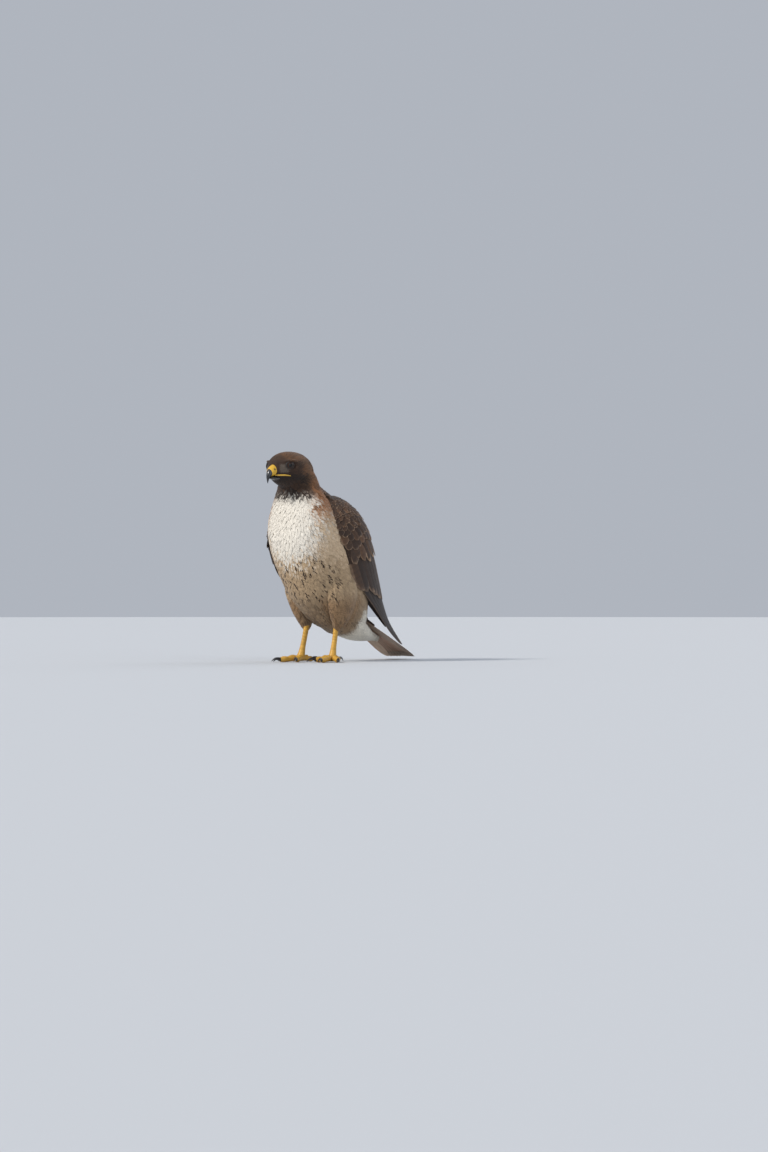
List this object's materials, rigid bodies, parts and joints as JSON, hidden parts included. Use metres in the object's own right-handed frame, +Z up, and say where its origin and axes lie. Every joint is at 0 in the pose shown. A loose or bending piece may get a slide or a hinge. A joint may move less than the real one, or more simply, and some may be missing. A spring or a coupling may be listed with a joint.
{
  "type": "red-tailed hawk figure",
  "caption": "Life-size standing red-tailed hawk with folded wings, closed tail laid to the ground and head turned slightly to its right.",
  "frame": {"origin": "on the ground under the middle of the bird's bounding box", "axes": "+Z up, -Y the way the bird's body faces, +X to its left"},
  "size_m": [0.1651, 0.4177, 0.3527],
  "materials": {
    "head_feathers": "matt",
    "breast_feathers": "matt",
    "belly_feathers": "matt",
    "thigh_feathers": "matt",
    "under_tail_feathers": "matt",
    "back_feathers": "matt",
    "flight_feathers": "satin",
    "tail_feathers": "satin",
    "yellow_skin": "satin",
    "horn": "gloss",
    "eye": "gloss"
  },
  "bodies": {
    "root": {"belly": "belly_feathers", "bill_lower": "horn", "bill_upper": "horn", "breast": "breast_feathers", "cere": "yellow_skin", "claw_hind_left": "horn", "claw_hind_right": "horn", "claw_inner_left": "horn", "claw_inner_right": "horn", "claw_middle_left": "horn", "claw_middle_right": "horn", "claw_outer_left": "horn", "claw_outer_right": "horn", "eye_left": "eye", "eye_right": "eye", "head": "head_feathers", "mantle": "back_feathers", "neck": "head_feathers", "rump": "back_feathers", "scapulars_left": "back_feathers", "scapulars_right": "back_feathers", "tail": "tail_feathers", "tail_coverts_under": "under_tail_feathers", "tail_coverts_upper": "back_feathers", "tarsus_left": "yellow_skin", "tarsus_right": "yellow_skin", "thigh_left": "thigh_feathers", "thigh_right": "thigh_feathers", "toe_hind_left": "yellow_skin", "toe_hind_right": "yellow_skin", "toe_inner_left": "yellow_skin", "toe_inner_right": "yellow_skin", "toe_middle_left": "yellow_skin", "toe_middle_right": "yellow_skin", "toe_outer_left": "yellow_skin", "toe_outer_right": "yellow_skin", "wing_left_coverts": "back_feathers", "wing_left_primaries": "flight_feathers", "wing_left_secondaries": "back_feathers", "wing_right_coverts": "back_feathers", "wing_right_primaries": "flight_feathers", "wing_right_secondaries": "back_feathers"}
  },
  "joints": []
}
